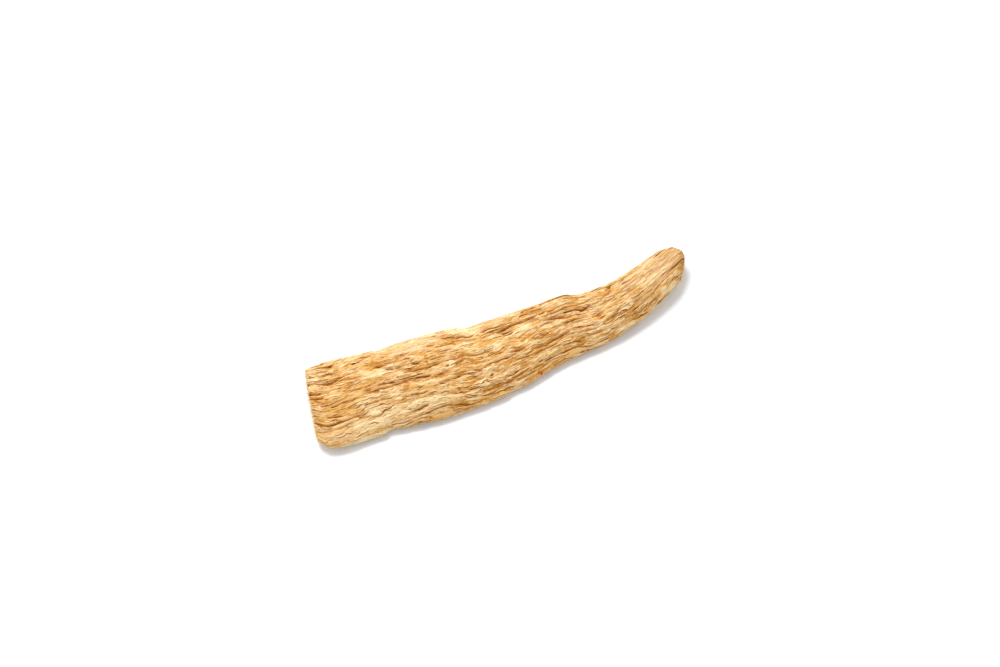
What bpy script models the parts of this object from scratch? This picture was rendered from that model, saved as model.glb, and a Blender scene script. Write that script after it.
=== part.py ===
"""A dried slice of astragalus root, cut lengthwise and lying with its bark side up.

Metres, +Z up. The slice runs along +X from its straight knife-cut end at -X to its narrow,
rounded end at +X, and -Y is its long, bulging side. The origin is the middle of its box, on
the surface that it lies on. It is one piece of root, so it is one solid.
"""

import math

import bmesh
import bpy
from mathutils import Vector, noise

MM = 0.001

# The slice seen from above, as the points in millimetres that each long edge passes through,
# from the knife-cut end to the narrow end.
NEAR_EDGE = (
    (-37.5, -4.5), (-36.0, -6.4), (-33.0, -7.2), (-28.5, -7.4), (-22.5, -7.9), (-16.0, -8.9),
    (-8.5, -9.3), (0.0, -8.8), (6.5, -7.5), (12.5, -6.9), (18.5, -6.6), (25.5, -5.0),
    (31.5, -2.9), (35.7, -0.6),
)
FAR_EDGE = (
    (-34.3, 9.1), (-29.0, 9.3), (-22.5, 8.4), (-15.5, 7.7), (-9.0, 7.1), (-3.5, 5.8),
    (3.0, 5.4), (8.5, 5.1), (14.0, 5.0), (17.0, 3.9), (23.0, 3.5), (28.0, 4.2),
    (32.0, 5.1), (35.3, 5.9),
)
# Small steps where a sliver has come off an edge: (share of the length, how far in).
NEAR_STEPS = ((0.165, 0.45), (0.47, 0.25))
FAR_STEPS = ((0.175, -0.35), (0.405, -0.35))
STEP_RUN = 0.012              # share of the length over which such a step happens
STEP_REACH = 0.07             # share of it over which the edge comes back
END_BULGE = 1.9 * MM          # how far the narrow end is rounded out past its corners
END_REACH = 0.07              # share of the length over which that rounding dies away
GRAIN_LENGTH = 75.0 * MM      # length of the root's grain in the slice
MEAN_WIDTH = 14.0 * MM        # width that the grain's spacing is told for
GRAIN_PROBE = 0.02            # share of the length over which the grain's direction is taken

# Heights above the resting surface, along the slice from the knife-cut end.
CREST = (4.1, 4.7, 4.9, 4.6, 4.2, 4.1, 4.3, 4.0)      # middle of the bark side, in millimetres
NEAR_RIM = 1.7 * MM           # top of the wall on the bulging side
FAR_RIM = 2.6 * MM            # top of the wall on the hollow side
DOME_POWER = 2.8              # how flat the bark side is before it drops to its rims
WALL_BULGE = 0.35 * MM        # how far the long walls swell out at mid-height
UNDERSIDE_CUP = 0.45 * MM     # how far the underside rises to its two long edges
CUP_FROM = 0.62               # share of the half width where that rise begins
END_LIFTS = (0.7 * MM, 1.5 * MM)      # how far the dried slice curls up at its two ends
CREST_LIFT = 0.5              # share of that lift that the crest follows
FLAT_SPAN = (0.14, 0.70)      # share of the length that lies flat, along its middle

# The wrinkled bark: furrows that run with the grain, join and part again. Each layer of them is
# (how long one runs before it joins another, how far apart they lie, how deep they are).
FURROWS = ((8.0 * MM, 1.15 * MM, 0.66 * MM), (4.2 * MM, 0.66 * MM, 0.32 * MM))
FURROW_WIDTH = 0.36           # share of the noise's height that falls inside a furrow
FURROW_SHARPNESS = 0.65       # under 1, the ridges are rounded and the furrows narrow
SWAY = ((1.1 * MM, 17.0 * MM, 7.0 * MM), (0.35 * MM, 5.5 * MM, 2.4 * MM))
SWELL = (0.45 * MM, 12.0 * MM, 4.5 * MM)      # broad lumps under the furrows
SWAY_SEED = 11.3
FURROW_SEED = 2.7
SWELL_SEED = 5.9
FRAY_SEED = 7.7
# The deep creases that show best, each as where it starts and ends:
# (share of the length, side) twice, with side from -1 at the bulging edge to 1 at the hollow one,
# then its depth and half its width in millimetres.
CREASES = (
    (0.245, -0.10, 0.322, -0.18, 0.60, 0.30),
    (0.180, 0.04, 0.220, -0.03, 0.50, 0.28),
    (0.190, 0.31, 0.228, 0.22, 0.45, 0.30),
    (0.255, 0.27, 0.292, 0.18, 0.45, 0.32),
    (0.336, -0.02, 0.372, -0.08, 0.50, 0.28),
    (0.395, -0.31, 0.440, -0.41, 0.50, 0.30),
    (0.482, 0.46, 0.535, 0.52, 0.60, 0.50),
    (0.508, 0.27, 0.540, 0.31, 0.45, 0.30),
    (0.580, 0.40, 0.705, 0.00, 0.60, 0.32),
    (0.695, 0.12, 0.765, 0.42, 0.60, 0.34),
    (0.550, 0.76, 0.605, 0.71, 0.45, 0.32),
    (0.425, -0.54, 0.458, -0.58, 0.45, 0.28),
    (0.020, 0.37, 0.085, 0.32, 0.45, 0.32),
    (0.015, -0.43, 0.095, -0.51, 0.50, 0.32),
    (0.090, -0.39, 0.125, -0.43, 0.45, 0.30),
    (0.160, -0.69, 0.202, -0.65, 0.40, 0.28),
    (0.358, 0.71, 0.402, 0.66, 0.40, 0.28),
    (0.795, 0.76, 0.845, 0.80, 0.45, 0.34),
    (0.935, -0.32, 0.985, -0.36, 0.55, 0.34),
)
CREASE_TAPER = 0.35           # share of a crease's length over which it fades in and out
# Where the furrows fade: (share of the length, share across, reach along, reach across).
CALM_SPOTS = ((0.11, 0.06, 0.12, 0.10), (0.26, 0.90, 0.08, 0.14), (0.46, 0.95, 0.12, 0.10))
CALM_EDGE = (0.4, 1.3)        # shares of that reach between which the furrows come back
CALM_DEPTH = 0.3              # share of the furrows' depth that is left there
SIDE_DEPTH = 0.4              # share of it on the long walls
RIM_DEPTH = 0.2               # share of it at the rims, where the bark turns down to the walls
UNDERSIDE_DEPTH = 0.22        # share of it on the knife-cut underside
WALL_TURN = 9                 # the higher, the closer to the rims the bark turns down
END_FRAY = 0.5 * MM           # how far fibres differ in length at the two ends
FRAY_GAP = 0.55 * MM          # how thick those fibres are
FRAY_FROM = 0.975             # share of the way to an end where that begins
FLAT_FADE = 0.06              # share of the length over which the flat spot ends
FLAT_FADE_ACROSS = 0.15       # share of the half width over which it ends

STEPS_ALONG = 60
STEPS_ACROSS = 63
STEPS_UP = 3
UNDERSIDE_STRIP = 3           # steps across that one strip of the plain underside takes in
EDGE_CROWDING = 0.6           # 0 spaces the steps across evenly, 1 crowds them at the rims

ROOT_COLOUR = (0.66, 0.42, 0.18, 1.0)


def smooth_step(value, low, high):
    """0 below low, 1 above high and an even S between them."""
    x = min(max((value - low) / (high - low), 0.0), 1.0)
    return x * x * (3.0 - 2.0 * x)


def through(values, share):
    """The value at a share of the way along a smooth line through evenly spaced values."""
    at = min(max(share, 0.0), 1.0) * (len(values) - 1)
    i = min(int(at), len(values) - 2)
    x = at - i
    a, b = values[max(i - 1, 0)], values[i]
    c, d = values[i + 1], values[min(i + 2, len(values) - 1)]
    bend = (a - b * 2.5 + c * 2.0 - d * 0.5) * x * x
    twist = (d * 0.5 - a * 0.5 + (b - c) * 1.5) * x * x * x
    return b + (c - a) * 0.5 * x + bend + twist


class Edge:
    """One long edge of the slice, walked by the share of its length."""

    SAMPLES = 400

    def __init__(self, points, steps):
        corners = [Vector(p) * MM for p in points]
        walk = [through(corners, i / self.SAMPLES) for i in range(self.SAMPLES + 1)]
        run = [0.0]
        for a, b in zip(walk, walk[1:]):
            run.append(run[-1] + (b - a).length)
        self.walk = walk
        self.run = run
        self.steps = steps

    def at(self, share):
        """The point at a share of the edge's length."""
        wanted = share * self.run[-1]
        i = min(int(share * self.SAMPLES), self.SAMPLES - 1)
        while i > 0 and self.run[i] > wanted:
            i -= 1
        while i < self.SAMPLES - 1 and self.run[i + 1] < wanted:
            i += 1
        part = (wanted - self.run[i]) / (self.run[i + 1] - self.run[i])
        place = self.walk[i].lerp(self.walk[i + 1], part)
        for start, depth in self.steps:
            gone = smooth_step(share, start, start + STEP_RUN)
            back = smooth_step(share, start + STEP_RUN, start + STEP_REACH)
            place.y += depth * MM * gone * (1.0 - back)
        return place


def grain_direction(near, far, share):
    """The way that the grain runs at a share of the length, seen from above."""
    back, ahead = max(share - GRAIN_PROBE, 0.0), min(share + GRAIN_PROBE, 1.0)
    return (near.at(ahead) + far.at(ahead) - near.at(back) - far.at(back)).normalized()


def stretched_noise(along, across, up, run, gap, seed):
    """Smooth noise from -1 to 1 that is drawn out along the grain."""
    return noise.noise(Vector((along / run + seed, across / gap, up / gap + seed)))


def furrow_drop(along, across, up):
    """How far the furrows sink the bark at a place in the grain."""
    sway = sum(
        reach * stretched_noise(along, across, up, run, gap, SWAY_SEED + i)
        for i, (reach, run, gap) in enumerate(SWAY)
    )
    drop = 0.0
    for i, (run, gap, depth) in enumerate(FURROWS):
        wave = stretched_noise(along, across + sway, up, run, gap, FURROW_SEED + i)
        drop += depth * (1.0 - min(abs(wave) / FURROW_WIDTH, 1.0) ** FURROW_SHARPNESS)
    return drop


def crease_drop(share, side, half_width):
    """How far the deep creases sink the bark."""
    drop = 0.0
    for start, side_start, end, side_end, depth, reach in CREASES:
        if start < share < end:
            part = (share - start) / (end - start)
            off = (side - side_start - (side_end - side_start) * part) * half_width / (reach * MM)
            ends = smooth_step(min(part, 1.0 - part), 0.0, CREASE_TAPER)
            drop = max(drop, depth * MM * ends * math.exp(-off * off))
    return drop


def calm(share, side):
    """The share of the furrows' depth that is left at a place on the bark side."""
    across_share = (side + 1.0) / 2.0
    fade = 0.0
    for along_at, across_at, reach_along, reach_across in CALM_SPOTS:
        far = math.hypot((share - along_at) / reach_along, (across_share - across_at) / reach_across)
        fade = max(fade, 1.0 - smooth_step(far, *CALM_EDGE))
    return 1.0 - (1.0 - CALM_DEPTH) * fade


def underside_height(share, side):
    """Height of the knife-cut face: 0 where it lies flat, curling up to its ends and rims."""
    lift = END_LIFTS[0] * smooth_step(FLAT_SPAN[0] - share, 0.0, FLAT_SPAN[0])
    lift += END_LIFTS[1] * smooth_step(share, FLAT_SPAN[1], 1.0)
    return lift + UNDERSIDE_CUP * smooth_step(abs(side), CUP_FROM, 1.0)


def bark_height(share, side):
    """Height of the smooth dome that the bark is wrinkled from."""
    lift = underside_height(share, 0.0)
    crest = through(CREST, share) * MM + lift * CREST_LIFT
    rim = (NEAR_RIM if side < 0.0 else FAR_RIM) + lift
    return rim + (crest - rim) * (1.0 - abs(side) ** DOME_POWER)


def flatness(share, side):
    """1 where the underside lies flat on the surface, 0 away from there."""
    start, end = FLAT_SPAN
    along = smooth_step(share, start - FLAT_FADE, start) - smooth_step(share, end, end + FLAT_FADE)
    return along * (1.0 - smooth_step(abs(side), CUP_FROM - FLAT_FADE_ACROSS, CUP_FROM))


def root_point(near, far, share, side, level):
    """Where a point of the plain block goes.

    share runs from 0 to 1 along the slice, side from -1 at the near edge to 1 at the far one,
    and level from -1 on the underside to 1 on the bark.
    """
    edge_near, edge_far = near.at(share), far.at(share)
    width = (edge_far - edge_near).length
    place = edge_near.lerp(edge_far, (side + 1.0) / 2.0)
    grain = grain_direction(near, far, share)
    place += grain * END_BULGE * (1.0 - side * side) * smooth_step(share, 1.0 - END_REACH, 1.0)

    low, high = underside_height(share, side), bark_height(share, side)
    up = low + (high - low) * (level + 1.0) / 2.0
    on_wall = abs(side) ** WALL_TURN
    place.y += math.copysign(on_wall * WALL_BULGE * (1.0 - level * level), side)

    along = share * GRAIN_LENGTH
    rim = (width + MEAN_WIDTH) / 4.0
    across = side * rim
    calmed = calm(share, side)
    drop = calmed * furrow_drop(along, across, up)
    swell = SWELL[0] * stretched_noise(along, across, up, SWELL[1], SWELL[2], SWELL_SEED)

    on_top = smooth_step(level, -1.0, 1.0)
    wall_drop = calmed * furrow_drop(along, math.copysign(rim, side), up)
    place.y -= math.copysign(on_wall * SIDE_DEPTH * wall_drop * width / MEAN_WIDTH, side)
    sunk = drop * (1.0 - on_wall * (1.0 - RIM_DEPTH))
    sunk = max(sunk, crease_drop(share, side, width / 2.0))
    up += on_top * (swell * (1.0 - side * side) - sunk)
    up += (1.0 - on_top) * (1.0 - flatness(share, side)) * UNDERSIDE_DEPTH * drop

    to_ends = smooth_step(abs(2.0 * share - 1.0), FRAY_FROM, 1.0) * (1.0 - on_wall)
    fray = stretched_noise(0.0, across, up, 1.0, FRAY_GAP, FRAY_SEED + share)
    place += grain * math.copysign(END_FRAY * fray * to_ends, share - 0.5)
    return Vector((place.x, place.y, up))


def plain_block():
    """A block from -1 to 1 each way, stepped along, across and up."""
    block = bmesh.new()
    bmesh.ops.create_grid(block, x_segments=STEPS_ALONG, y_segments=STEPS_ACROSS, size=1.0)
    bmesh.ops.translate(block, verts=block.verts, vec=(0.0, 0.0, -1.0))
    raised = bmesh.ops.extrude_face_region(block, geom=block.faces[:], use_keep_orig=True)
    tops = [v for v in raised["geom"] if isinstance(v, bmesh.types.BMVert)]
    bmesh.ops.translate(block, verts=tops, vec=(0.0, 0.0, 2.0))
    risers = [e for e in block.edges if abs(e.verts[0].co.z - e.verts[1].co.z) > 1.0]
    bmesh.ops.subdivide_edges(block, edges=risers, cuts=STEPS_UP - 1, use_grid_fill=True)
    widen_underside_strips(block)
    bmesh.ops.recalc_face_normals(block, faces=block.faces)
    return block


def widen_underside_strips(block):
    """Join the strips of the underside, which has no furrows that need narrow ones."""
    strips = []
    for edge in block.edges:
        a, b = edge.verts[0].co, edge.verts[1].co
        row = round((a.y + 1.0) / 2.0 * STEPS_ACROSS)
        if max(a.z, b.z) < -0.99 and abs(a.y - b.y) < 0.001 and row % UNDERSIDE_STRIP:
            strips.append(edge)
    bmesh.ops.dissolve_edges(block, edges=strips, use_verts=True)


def root_slice():
    """The whole slice, shaped from the plain block."""
    near, far = Edge(NEAR_EDGE, NEAR_STEPS), Edge(FAR_EDGE, FAR_STEPS)
    block = plain_block()
    crowd = math.pi / 2.0 * EDGE_CROWDING
    for corner in block.verts:
        side = math.sin(corner.co.y * crowd) / math.sin(crowd)
        corner.co = root_point(near, far, (corner.co.x + 1.0) / 2.0, side, corner.co.z)
    bmesh.ops.triangulate(block, faces=block.faces[:])
    mesh = bpy.data.meshes.new("root_slice")
    block.to_mesh(mesh)
    block.free()
    mesh.shade_smooth()
    mesh.set_sharp_from_angle(angle=math.radians(60.0))
    return bpy.data.objects.new("root_slice", mesh)


def root_material():
    """Dry straw-brown root."""
    material = bpy.data.materials.new("dried_root")
    material.use_nodes = True
    shader = material.node_tree.nodes["Principled BSDF"]
    shader.inputs["Base Color"].default_value = ROOT_COLOUR
    shader.inputs["Roughness"].default_value = 0.8
    shader.inputs["Metallic"].default_value = 0.0
    return material


def main():
    for old in list(bpy.data.objects):
        bpy.data.objects.remove(old, do_unlink=True)
    collection = bpy.data.collections.new("astragalus_root_slice")
    bpy.context.scene.collection.children.link(collection)
    piece = root_slice()
    piece.data.materials.append(root_material())
    collection.objects.link(piece)


main()
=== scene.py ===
"""The looks of a dried astragalus root slice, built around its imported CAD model.

Metres, +Z up, in the CAD's own frame: the slice runs along +X from its knife-cut end to its
narrow end, and lies on the floor at Z 0 with its bark side up. A place on the slice is given as
its share of the length, from 0 at the cut end to 1 at the narrow end, its side, from -1 at the
bulging edge to 1 at the hollow one, and its level, from -1 on the underside to 1 on the bark.
"""

import logging
import math
import random
from collections.abc import Sequence
from dataclasses import dataclass, field
from enum import Enum
from functools import lru_cache

import bmesh
import bpy
from mathutils import Matrix, Vector, noise


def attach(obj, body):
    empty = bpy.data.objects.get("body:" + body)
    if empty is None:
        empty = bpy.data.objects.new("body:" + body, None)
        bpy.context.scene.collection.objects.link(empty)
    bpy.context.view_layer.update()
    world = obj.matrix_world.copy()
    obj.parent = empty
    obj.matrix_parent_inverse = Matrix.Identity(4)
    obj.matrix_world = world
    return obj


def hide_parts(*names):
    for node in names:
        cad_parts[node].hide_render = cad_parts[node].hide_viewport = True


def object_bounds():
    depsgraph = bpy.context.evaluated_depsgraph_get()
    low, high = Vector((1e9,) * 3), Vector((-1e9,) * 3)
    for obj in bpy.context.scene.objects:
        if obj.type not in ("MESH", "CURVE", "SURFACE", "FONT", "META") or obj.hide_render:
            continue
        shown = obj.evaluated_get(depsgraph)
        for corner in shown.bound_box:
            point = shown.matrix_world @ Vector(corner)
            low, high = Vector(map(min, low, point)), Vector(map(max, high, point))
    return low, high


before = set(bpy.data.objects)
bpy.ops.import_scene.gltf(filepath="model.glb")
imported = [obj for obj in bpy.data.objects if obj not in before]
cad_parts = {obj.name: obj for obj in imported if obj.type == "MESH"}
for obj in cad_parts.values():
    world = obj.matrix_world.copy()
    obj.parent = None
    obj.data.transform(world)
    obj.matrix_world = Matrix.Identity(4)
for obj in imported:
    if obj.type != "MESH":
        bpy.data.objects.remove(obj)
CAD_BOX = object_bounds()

MM = 0.001
NODE = "root_slice"
BODY = "root"
BAKE_UV = "OFBake"
CEILING = CAD_BOX[1][2] * 1.015
PATCH_FADE = (0.45, 1.15)
PATCH_END = 1.8

log = logging.getLogger("astragalus_root")

Colour = tuple[float, float, float, float]
Socket = bpy.types.NodeSocket
Value = Socket | float | tuple[float, ...]


def tone(red: int, green: int, blue: int) -> Colour:
    """A colour as a linear one.

    Args:
        red: its red from 0 to 255, as it shows on a screen.
        green: its green.
        blue: its blue.

    Returns:
        The linear colour, opaque.
    """
    shares = [channel / 255.0 for channel in (red, green, blue)]
    linear = [s / 12.92 if s <= 0.04045 else ((s + 0.055) / 1.055) ** 2.4 for s in shares]
    return (linear[0], linear[1], linear[2], 1.0)


def smooth_step(value: float, low: float, high: float) -> float:
    """0 below low, 1 above high and an even S between them."""
    x = min(max((value - low) / (high - low), 0.0), 1.0)
    return x * x * (3.0 - 2.0 * x)


def through(values: Sequence[float | Vector], share: float) -> float | Vector:
    """A smooth line through evenly spaced values.

    Args:
        values: numbers or vectors that the line passes through.
        share: how far along the line, from 0 to 1.

    Returns:
        The number or vector there.
    """
    at = min(max(share, 0.0), 1.0) * (len(values) - 1)
    i = min(int(at), len(values) - 2)
    x = at - i
    a, b = values[max(i - 1, 0)], values[i]
    c, d = values[i + 1], values[min(i + 2, len(values) - 1)]
    bend = (a - b * 2.5 + c * 2.0 - d * 0.5) * x * x
    twist = (d * 0.5 - a * 0.5 + (b - c) * 1.5) * x * x * x
    return b + (c - a) * 0.5 * x + bend + twist


def stretched_noise(
    along: float, across: float, up: float, run: float, gap: float, seed: float
) -> float:
    """Smooth noise from -1 to 1 that is drawn out along the grain."""
    return noise.noise(Vector((along / run + seed, across / gap, up / gap + seed)))


@dataclass(frozen=True)
class Edge:
    """One long edge of the slice, seen from above.

    Args:
        points: what the edge passes through, in millimetres, from the cut end on.
        steps: small steps where a sliver has come off, each (share of the length, how far in mm).
    """

    points: tuple[tuple[float, float], ...]
    steps: tuple[tuple[float, float], ...]
    samples: int = 400
    step_run: float = 0.012
    step_reach: float = 0.07

    @lru_cache(maxsize=None)
    def walk(self) -> tuple[list[Vector], list[float]]:
        """Walks along the edge in small steps.

        Returns:
            The points, and the run of the edge up to each.
        """
        corners = [Vector(p) * MM for p in self.points]
        places = [through(corners, i / self.samples) for i in range(self.samples + 1)]
        run = [0.0]
        for a, b in zip(places, places[1:]):
            run.append(run[-1] + (b - a).length)
        return places, run

    @lru_cache(maxsize=None)
    def at(self, share: float) -> Vector:
        """The point at a share of the edge's length.

        Args:
            share: how far along the edge, from 0 to 1.

        Returns:
            The point, seen from above.
        """
        places, run = self.walk()
        wanted = share * run[-1]
        i = min(int(share * self.samples), self.samples - 1)
        while i > 0 and run[i] > wanted:
            i -= 1
        while i < self.samples - 1 and run[i + 1] < wanted:
            i += 1
        place = places[i].lerp(places[i + 1], (wanted - run[i]) / (run[i + 1] - run[i]))
        for start, depth in self.steps:
            gone = smooth_step(share, start, start + self.step_run)
            back = smooth_step(share, start + self.step_run, start + self.step_reach)
            place.y += depth * MM * gone * (1.0 - back)
        return place


@dataclass(frozen=True)
class SliceForm:
    """The plain form of the slice, without its furrows. Heights are above the surface it lies on."""

    near: Edge = Edge(
        points=(
            (-37.5, -4.5), (-36.0, -6.4), (-33.0, -7.2), (-28.5, -7.4), (-22.5, -7.9), (-16.0, -8.9),
            (-8.5, -9.3), (0.0, -8.8), (6.5, -7.5), (12.5, -6.9), (18.5, -6.6), (25.5, -5.0),
            (31.4, -2.8), (35.5, -0.6),
        ),
        steps=((0.165, 0.45), (0.47, 0.25)),
    )
    far: Edge = Edge(
        points=(
            (-34.3, 9.1), (-29.0, 9.3), (-22.5, 8.4), (-15.5, 7.7), (-9.0, 7.1), (-3.5, 5.8),
            (3.0, 5.4), (8.5, 5.1), (14.0, 5.0), (17.0, 3.9), (23.0, 3.5), (28.0, 4.2),
            (32.0, 5.1), (35.3, 5.9),
        ),
        steps=((0.175, -0.35), (0.405, -0.35)),
    )
    end_bulge: float = 2.9 * MM
    end_reach: float = 0.07
    grain_length: float = 75.0 * MM
    mean_width: float = 14.0 * MM
    grain_probe: float = 0.02
    crest: tuple[float, ...] = (4.1, 4.7, 4.9, 4.6, 4.2, 4.1, 4.3, 4.0)
    near_rim: float = 1.7 * MM
    far_rim: float = 2.6 * MM
    dome_power: float = 2.8
    wall_bulge: float = 0.35 * MM
    wall_turn: float = 9.0
    underside_cup: float = 0.45 * MM
    cup_from: float = 0.62
    end_lifts: tuple[float, float] = (0.7 * MM, 1.5 * MM)
    crest_lift: float = 0.5
    flat_span: tuple[float, float] = (0.14, 0.70)
    flat_fade: float = 0.06
    flat_fade_across: float = 0.15
    cut_round: tuple[float, float] = (0.12 * MM, 0.006)
    tip_round: tuple[float, float] = (1.2 * MM, 0.026)

    @lru_cache(maxsize=None)
    def width(self, share: float) -> float:
        """How wide the slice is at a share of its length."""
        return (self.far.at(share) - self.near.at(share)).length

    @lru_cache(maxsize=None)
    def grain(self, share: float) -> Vector:
        """The way that the grain runs, seen from above.

        Args:
            share: how far along the slice.

        Returns:
            The direction, of length 1.
        """
        back, ahead = max(share - self.grain_probe, 0.0), min(share + self.grain_probe, 1.0)
        ahead_sum = self.near.at(ahead) + self.far.at(ahead)
        return (ahead_sum - self.near.at(back) - self.far.at(back)).normalized()

    def on_wall(self, side: float) -> float:
        """1 on the long walls and 0 well inside them."""
        return abs(side) ** self.wall_turn

    def plan(self, share: float, side: float) -> Vector:
        """The place seen from above, with the narrow end rounded out.

        Args:
            share: how far along the slice.
            side: how far across it.

        Returns:
            The place, in metres.
        """
        place = self.near.at(share).lerp(self.far.at(share), (side + 1.0) / 2.0)
        bulge = self.end_bulge * (1.0 - side * side) * smooth_step(share, 1.0 - self.end_reach, 1.0)
        return place + self.grain(share) * bulge

    @lru_cache(maxsize=None)
    def lift(self, share: float) -> float:
        """How far the middle of the underside is lifted off the surface.

        Args:
            share: how far along the slice.

        Returns:
            The lift there, in metres.
        """
        start, end = self.flat_span
        lift = self.end_lifts[0] * smooth_step(start - share, 0.0, start)
        return lift + self.end_lifts[1] * smooth_step(share, end, 1.0)

    def underside(self, share: float, side: float) -> float:
        """Height of the knife-cut face."""
        return self.lift(share) + self.underside_cup * smooth_step(abs(side), self.cup_from, 1.0)

    def bark(self, share: float, side: float) -> float:
        """Height of the smooth dome that the bark is wrinkled from.

        Args:
            share: how far along the slice.
            side: how far across it.

        Returns:
            The height, in metres.
        """
        lift = self.lift(share)
        crest = through(self.crest, share) * MM + lift * self.crest_lift
        rim = (self.near_rim if side < 0.0 else self.far_rim) + lift
        return rim + (crest - rim) * (1.0 - abs(side) ** self.dome_power)

    def rounding(self, share: float) -> float:
        """How far the bark's edge is worn down at either end.

        Args:
            share: how far along the slice.

        Returns:
            The drop there, in metres.
        """
        drop = 0.0
        for (depth, reach), away in ((self.cut_round, share), (self.tip_round, 1.0 - share)):
            x = max(1.0 - away / reach, 0.0)
            drop += depth * (1.0 - math.sqrt(1.0 - x * x))
        return drop

    def below_bark(self, share: float, side: float, level: float) -> float:
        """How deep under the nearest bark a place lies.

        Args:
            share: how far along the slice.
            side: how far across it.
            level: how far up.

        Returns:
            The depth, in metres.
        """
        inward = (1.0 - abs(side)) * self.width(share) / 2.0
        down = (self.bark(share, side) - self.underside(share, side)) * (1.0 - level) / 2.0
        return inward * down / max(math.hypot(inward, down), 0.01 * MM)

    def round_side(self, share: float, side: float, level: float) -> float:
        """The side, carried on past -1 and 1 down the long walls."""
        wall = (self.bark(share, side) - self.underside(share, side)) * (1.0 - level) / 2.0
        return side * (1.0 + wall / (self.width(share) / 2.0))

    def outward(self, share: float, side: float) -> Vector:
        """The way straight out of the smooth dome.

        Args:
            share: how far along the slice.
            side: how far across it.

        Returns:
            The direction, of length 1.
        """
        rim = self.near_rim if side < 0.0 else self.far_rim
        fall = self.dome_power * abs(side) ** (self.dome_power - 1.0)
        fall *= through(self.crest, share) * MM - rim
        return Vector((0.0, math.copysign(fall / (self.width(share) / 2.0), side), 1.0)).normalized()

    def flatness(self, share: float, side: float) -> float:
        """1 where the underside lies flat on the surface, 0 away from there.

        Args:
            share: how far along the slice.
            side: how far across it.

        Returns:
            How flat it lies, from 0 to 1.
        """
        start, end = self.flat_span
        along = smooth_step(share, start - self.flat_fade, start)
        along -= smooth_step(share, end, end + self.flat_fade)
        fade_from = self.cup_from - self.flat_fade_across
        return along * (1.0 - smooth_step(abs(side), fade_from, self.cup_from))


@dataclass(frozen=True)
class FurrowLayer:
    """One layer of furrows: how long they run, how far apart they lie and how deep they are."""

    run: float
    gap: float
    depth: float
    seed: float
    width: float = 0.36
    sharpness: float = 0.65

    def share(self, along: float, across: float, up: float) -> float:
        """1 at the bottom of a furrow and 0 on the back of a ridge."""
        wave = stretched_noise(along, across, up, self.run, self.gap, self.seed)
        return 1.0 - min(abs(wave) / self.width, 1.0) ** self.sharpness


@dataclass(frozen=True)
class FlakeLayer:
    """Thin flakes of bark with a steep lip round each: their size and how high they stand."""

    run: float
    gap: float
    height: float
    seed: float
    lip: float = 0.05

    def share(self, along: float, across: float, up: float) -> float:
        """1 on a flake and 0 beside it."""
        wave = stretched_noise(along, across, up, self.run, self.gap, self.seed)
        return smooth_step(wave, -self.lip, self.lip)


@dataclass(frozen=True)
class Crease:
    """A deep crease that shows from a step away, from one place on the bark to another."""

    start: float
    start_side: float
    end: float
    end_side: float
    depth: float
    reach: float

    def share(self, share: float, side: float, half_width: float, taper: float) -> float:
        """1 at the bottom of the crease and 0 away from it.

        Args:
            share: how far along the slice.
            side: how far across it.
            half_width: half the slice's width there, in metres.
            taper: the share of the crease over which it deepens at either end.

        Returns:
            How far into the crease the place is, from 0 to 1.
        """
        if not self.start < share < self.end:
            return 0.0
        part = (share - self.start) / (self.end - self.start)
        middle = self.start_side + (self.end_side - self.start_side) * part
        off = (side - middle) * half_width / (self.reach * MM)
        return smooth_step(min(part, 1.0 - part), 0.0, taper) * math.exp(-off * off)


CREASES = tuple(
    Crease(*row)
    for row in (
        (0.245, -0.10, 0.322, -0.18, 0.60, 0.30), (0.180, 0.04, 0.220, -0.03, 0.50, 0.28),
        (0.190, 0.31, 0.228, 0.22, 0.45, 0.30), (0.255, 0.27, 0.292, 0.18, 0.45, 0.32),
        (0.336, -0.02, 0.372, -0.08, 0.50, 0.28), (0.395, -0.31, 0.440, -0.41, 0.50, 0.30),
        (0.482, 0.46, 0.535, 0.52, 0.60, 0.50), (0.508, 0.27, 0.540, 0.31, 0.45, 0.30),
        (0.580, 0.40, 0.705, 0.00, 0.60, 0.32), (0.695, 0.12, 0.765, 0.42, 0.60, 0.34),
        (0.550, 0.76, 0.605, 0.71, 0.45, 0.32), (0.425, -0.54, 0.458, -0.58, 0.45, 0.28),
        (0.020, 0.37, 0.085, 0.32, 0.45, 0.32), (0.015, -0.43, 0.095, -0.51, 0.50, 0.32),
        (0.090, -0.39, 0.125, -0.43, 0.45, 0.30), (0.160, -0.69, 0.202, -0.65, 0.40, 0.28),
        (0.358, 0.71, 0.402, 0.66, 0.40, 0.28), (0.795, 0.76, 0.845, 0.80, 0.45, 0.34),
        (0.930, -0.38, 1.040, -0.36, 0.40, 0.22), (0.310, -0.40, 0.336, -0.44, 0.40, 0.20),
        (0.585, -0.12, 0.615, -0.18, 0.40, 0.20), (0.600, -0.43, 0.622, -0.47, 0.40, 0.20),
        (0.100, -0.60, 0.132, -0.65, 0.35, 0.16), (-0.030, -0.29, 0.022, -0.30, 0.50, 0.16),
        (-0.030, -0.44, 0.028, -0.46, 0.50, 0.16), (-0.030, -0.10, 0.026, -0.12, 0.40, 0.14),
        (-0.030, 0.20, 0.024, 0.19, 0.30, 0.14),
    )
)


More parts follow.
